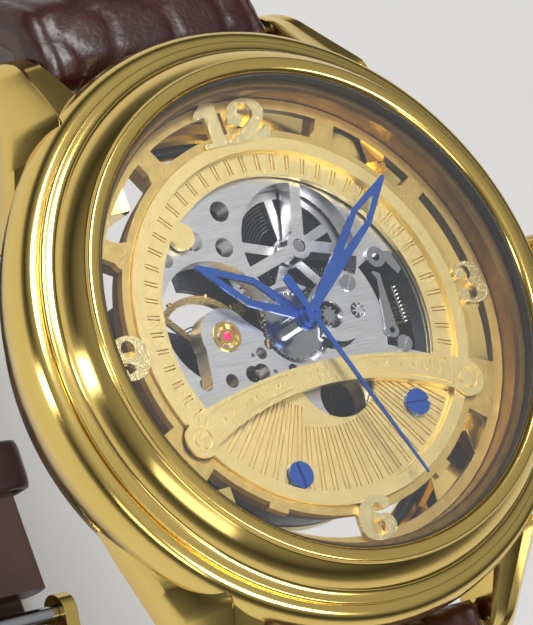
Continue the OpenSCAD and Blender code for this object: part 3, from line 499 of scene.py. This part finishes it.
def strap_piece(name, path, width, out_h, in_h, body, node, seed, step=0.42):
    """A padded strap along a path of (y, z). width, out_h and in_h give half the width and the height
    above and below the middle line, all by distance along the path in millimetres."""
    s, q, d = even_path(path, step)
    normal = np.stack([-d[:, 1], d[:, 0]], 1)
    mid = np.array([0, LOOP_MID])
    if np.sum(normal * (q - mid)) < 0:
        normal = -normal
    total = s[-1]
    us = np.sin(np.linspace(-1, 1, 57) * math.pi / 2)
    us = 0.75 * us + 0.25 * np.linspace(-1, 1, 57)
    S, U = np.meshgrid(s, us, indexing="ij")
    half = np.array([width(v, total) for v in s])[:, None]
    ho = np.array([out_h(v, total) for v in s])[:, None]
    hi = np.array([in_h(v, total) for v in s])[:, None]
    X = U * half
    edge = (1 - np.abs(U)) * half
    crown = 1 - np.abs(U) ** 3.2
    lip = np.sqrt(np.clip(1 - (1 - np.clip(edge / 0.9, 0, 1)) ** 2, 0, 1))
    groove = scale_grooves(S, X, seed)
    flat = np.clip((edge - 2.2) / 0.6, 0, 1)
    stitch = np.exp(-(((edge - STITCH_IN) / 0.32) ** 2))
    thin = np.minimum(ho, 1.3)
    outer = thin * lip + (ho - thin) * np.clip(crown, 0, 1) ** 0.8
    outer = outer - 0.3 * groove * lip * (0.35 + 0.65 * flat) - 0.16 * stitch
    inner = -hi * np.sqrt(np.clip(1 - (1 - np.clip(edge / 0.5, 0, 1)) ** 2, 0, 1))
    points = []
    index = {}
    n, m = S.shape
    for layer, height in (("o", outer), ("i", inner)):
        for i in range(n):
            for j in range(m):
                if layer == "i" and j in (0, m - 1):
                    index[layer, i, j] = index["o", i, j]
                    continue
                y, z = q[i] + normal[i] * height[i, j]
                index[layer, i, j] = len(points)
                points.append((X[i, j] * MM, y * MM, z * MM))
    faces = []
    mats = []
    for i in range(n - 1):
        for j in range(m - 1):
            a = [index["o", i, j], index["o", i + 1, j], index["o", i + 1, j + 1], index["o", i, j + 1]]
            b = [index["i", i, j], index["i", i, j + 1], index["i", i + 1, j + 1], index["i", i + 1, j]]
            for f, k in ((a, 0), (b, 1)):
                faces.append(f)
                mats.append(k)
    for i in (0, n - 1):
        for j in range(m - 1):
            ring = [index["o", i, j], index["o", i, j + 1], index["i", i, j + 1], index["i", i, j]]
            ring = list(dict.fromkeys(ring))
            if len(ring) > 2:
                faces.append(ring)
                mats.append(0)
    piece = new_piece(name, points, faces, body, [MATERIALS["leather"], LINING], 60)
    piece.data.polygons.foreach_set("material_index", mats[: len(piece.data.polygons)])
    fix_normals(piece)
    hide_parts(node)
    return s, q, normal, half[:, 0], thin[:, 0]


def fix_normals(piece):
    bm = bmesh.new()
    bm.from_mesh(piece.data)
    bmesh.ops.recalc_face_normals(bm, faces=bm.faces)
    bm.to_mesh(piece.data)
    bm.free()


def capsule(a, b, r, sides=8, rings=3):
    """Points and faces of a rounded stitch from a to b."""
    a, b = Vector(a), Vector(b)
    axis = (b - a).normalized()
    u = axis.orthogonal().normalized()
    v = axis.cross(u)
    stations = []
    for i in range(rings):
        t = math.pi / 2 * i / rings
        stations.append((a - axis * r * math.cos(t), r * math.sin(t) + r * 0.05))
    stations.append((a, r))
    stations.append((b, r))
    for i in range(rings - 1, -1, -1):
        t = math.pi / 2 * i / rings
        stations.append((b + axis * r * math.cos(t), r * math.sin(t) + r * 0.05))
    points = [
        c + (u * math.cos(2 * math.pi * k / sides) + v * math.sin(2 * math.pi * k / sides)) * rr
        for c, rr in stations
        for k in range(sides)
    ]
    faces = [
        (i * sides + k, i * sides + (k + 1) % sides, (i + 1) * sides + (k + 1) % sides, (i + 1) * sides + k)
        for i in range(len(stations) - 1)
        for k in range(sides)
    ]
    faces.append(tuple(range(sides))[::-1])
    faces.append(tuple((len(stations) - 1) * sides + k for k in range(sides)))
    return points, faces


def stitch_row(name, lines, first, last, body, pitch=2.7, length=1.9, r=0.2):
    """Rows of thread down both sides of a strap, from first to last millimetre."""
    s, q, normal, half, thick = lines
    points, faces = [], []
    for side in (-1, 1):
        at = first
        while at + length < last:
            ends = []
            for v in (at, at + length):
                y = np.interp(v, s, q[:, 0] + normal[:, 0] * (thick - 0.06))
                z = np.interp(v, s, q[:, 1] + normal[:, 1] * (thick - 0.06))
                x = side * (np.interp(v, s, half) - STITCH_IN)
                ends.append((x * MM, y * MM, z * MM))
            p, f = capsule(*ends, r * MM)
            faces += [tuple(k + len(points) for k in face) for face in f]
            points += p
            at += pitch
    return new_piece(name, points, faces, body, [THREAD], 60)


def taper(v, start, length):
    """How far v is along a change that starts and then lasts length millimetres, from 0 to 1."""
    return min(max((v - start) / length, 0), 1)


def nose_height(v):
    """Half the thickness over the round end on the spring bar."""
    return math.sqrt(max(NOSE**2 - max(NOSE - v, 0) ** 2, 0.0004))


def upper_width(v, total):
    return 9.75 - 0.35 * taper(v, 12, 55)


def upper_pad(v, total):
    return min(nose_height(v), 2.3 - taper(v, 8, 38))


def upper_under(v, total):
    return min(nose_height(v), NOSE - 0.75 * taper(v, 3, 5))


def lower_width(v, total):
    """Narrows towards a rounded tip."""
    w = 9.75 - 1.15 * taper(v, 12, 50)
    return w * math.sqrt(max(1 - max(1 - (total - v) / 9, 0) ** 2, 0.01))


def lower_pad(v, total):
    end = math.sqrt(max(1 - max(1 - (total - v) / 1.2, 0) ** 2, 0.0004))
    return min(nose_height(v), 2.3 - taper(v, 8, 38) - 0.3 * taper(v, 50, 12)) * end


def lower_under(v, total):
    return min(nose_height(v), NOSE - 0.75 * taper(v, 3, 5) - 0.3 * taper(v, 50, 12))


def straps():
    """Both halves start at a spring bar. The lower one's tail runs outside the upper half."""
    start = [(BAR.y - 1.9, BAR.z + 0.3), (BAR.y, BAR.z)]
    upper = start + [loop_mid(t) for t in np.arange(52, 183.5, 0.5)]
    lines = strap_piece(
        "strap_upper_leather", upper, upper_width, upper_pad, upper_under, "watch", "strap_upper", 11
    )
    stitch_row("strap_upper_stitches", lines, 5, 66, "watch")

    lower = [(-y, z) for y, z in start] + [loop_mid(-t) for t in np.arange(52, 156, 0.5)]
    lower += [loop_offset(-t, 2.4) for t in np.arange(170, 222.5, 0.5)]
    lines = strap_piece(
        "strap_lower_leather", lower, lower_width, lower_pad, lower_under, "watch", "strap_lower", 23
    )
    stitch_row("strap_lower_stitches", lines, 5, lines[0][-1] - 10, "watch")


def keeper_piece(node, body, at, tilt, wide, inner, outer):
    """A padded leather loop round the strap: at is its middle in Y and Z, tilt its turn about X."""
    half = 10.65
    mid = (inner + outer) / 2
    tall = (inner - outer) / 2 + 0.35
    turns, ribs = 96, 14
    points = []
    for i in range(turns):
        a = 2 * math.pi * i / turns
        c, d = math.cos(a), math.sin(a)
        px = half * math.copysign(abs(c) ** 0.22, c)
        pz = tall * math.copysign(abs(d) ** 0.36, d)
        for j in range(ribs):
            b = 2 * math.pi * j / ribs
            y = (wide / 2 - 0.02) * math.copysign(abs(math.cos(b)) ** 0.4, math.cos(b))
            push = 0.42 * math.copysign(abs(math.sin(b)) ** 0.7, math.sin(b))
            qx, qz = px + push * c, mid + pz + push * d
            ct, st = math.cos(math.radians(tilt)), math.sin(math.radians(tilt))
            points.append((qx * MM, (at[0] + y * ct - qz * st) * MM, (at[1] + y * st + qz * ct) * MM))
    faces = []
    for i in range(turns):
        a, b = i * ribs, (i + 1) % turns * ribs
        for j in range(ribs):
            k = (j + 1) % ribs
            faces.append((a + j, a + k, b + k, b + j))
    piece = new_piece(node + "_leather", points, faces, body, [MATERIALS["leather"]], 60)
    fix_normals(piece)
    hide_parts(node)


def keepers():
    keeper_piece("fixed_keeper", "watch", (6.2, -47), 2.5, 4, 1.75, -3.6)
    keeper_piece("sliding_keeper", "sliding_keeper", (15.4, -45.25), 16, 4, 1.6, -3.75)


# ---------- camera, floor and light ----------

# Where the camera stands about the dial's centre, from the photograph's viewing angle
VIEW_AZ = -72.6
VIEW_EL = 52.46
VIEW_ROLL = 56.06
VIEW_DIST = 386.7 * MM
LENS = 327.3
AIM_RIGHT = -2.51 * MM
AIM_UP = 0.46 * MM


def make_camera():
    az, el, roll = (math.radians(v) for v in (VIEW_AZ, VIEW_EL, VIEW_ROLL))
    back = Vector((math.sin(az) * math.cos(el), -math.cos(az) * math.cos(el), math.sin(el)))
    right0 = Vector((math.cos(az), math.sin(az), 0))
    up0 = back.cross(right0)
    right = right0 * math.cos(roll) + up0 * math.sin(roll)
    up = up0 * math.cos(roll) - right0 * math.sin(roll)
    dial = Vector((0, 0, RIM_Z))
    aim = dial + right * AIM_RIGHT + up * AIM_UP
    data = bpy.data.cameras.new("camera")
    data.lens = LENS
    data.sensor_width = 36
    data.clip_start = 0.01
    data.clip_end = 20
    camera = bpy.data.objects.new("camera", data)
    turn = Matrix((right, up, back)).transposed().to_4x4()
    camera.matrix_world = Matrix.Translation(aim + back * VIEW_DIST) @ turn
    bpy.context.scene.collection.objects.link(camera)
    bpy.context.scene.camera = camera
    return back, right, up


def make_floor():
    size = 3.0
    mesh = bpy.data.meshes.new("floor")
    corners = [(-size, -size), (size, -size), (size, size), (-size, size)]
    mesh.from_pydata([(x, y, FLOOR_Z) for x, y in corners], [], [(0, 1, 2, 3)])
    floor = bpy.data.objects.new("floor", mesh)
    bpy.context.scene.collection.objects.link(floor)
    mat, tree, shader = new_material("floor")
    where = coordinates(tree)
    pale = two_tone(tree, noise(tree, where, 40), (0.50, 0.49, 0.48), (0.54, 0.53, 0.52))
    tree.links.new(pale, shader.inputs["Base Color"])
    shader.inputs["Roughness"].default_value = 0.7
    mesh.materials.append(mat)


def soft_box(name, at, toward, size, power, colour=(1, 1, 1)):
    data = bpy.data.lights.new(name, "AREA")
    data.shape = "RECTANGLE"
    data.size, data.size_y = size
    data.energy = power
    data.color = colour
    light = bpy.data.objects.new(name, data)
    light.location = at
    light.rotation_euler = (Vector(at) - Vector(toward)).to_track_quat("Z", "Y").to_euler()
    bpy.context.scene.collection.objects.link(light)


def make_lights(back, right, up):
    dial = Vector((0, 0, RIM_Z))
    soft_box("key", dial + (Z * 0.86 + up * 0.42 - right * 0.1) * 0.7, dial, (0.42, 0.22), 4.4)
    soft_box("low_key", dial + (Z * 0.8 - up * 0.5 + right * 0.2) * 0.7, dial, (0.4, 0.16), 2.2)
    soft_box("side", dial - right * 0.6 - up * 0.15 + Z * 0.25, dial, (0.1, 0.7), 1.5)
    soft_box("fill", dial + back * 0.6 - up * 0.4, dial, (0.4, 0.2), 0.5)
    world = bpy.data.worlds.new("studio")
    bpy.context.scene.world = world
    world.use_nodes = True
    tree = world.node_tree
    where = tree.nodes.new("ShaderNodeTexCoord")
    split = tree.nodes.new("ShaderNodeSeparateXYZ")
    ramp = tree.nodes.new("ShaderNodeValToRGB")
    stops = ramp.color_ramp.elements
    stops[0].position = 0.0
    stops[0].color = (0.25, 0.24, 0.23, 1)
    stops[1].position = 1.0
    stops[1].color = (1.0, 1.0, 1.0, 1)
    for at, grey in ((0.5, 0.30), (0.62, 0.06), (0.78, 0.5)):
        stop = stops.new(at)
        stop.color = (grey, grey, grey, 1)
    half = add(tree, "ShaderNodeMapRange", From_Min=-1.0)
    tree.links.new(where.outputs["Generated"], split.inputs["Vector"])
    tree.links.new(split.outputs["Z"], half.inputs["Value"])
    tree.links.new(half.outputs["Result"], ramp.inputs["Fac"])
    tree.links.new(ramp.outputs["Color"], tree.nodes["Background"].inputs["Color"])
    tree.nodes["Background"].inputs["Strength"].default_value = 0.5
    bpy.context.scene.view_settings.view_transform = "Standard"


# ---------- the scene ----------

back, right, up = make_camera()
make_floor()
make_lights(back, right, up)
finish_cad_nodes()
tone_gold()
redden_jewel()
smooth_bezel()
smooth_case()
straps()
keepers()
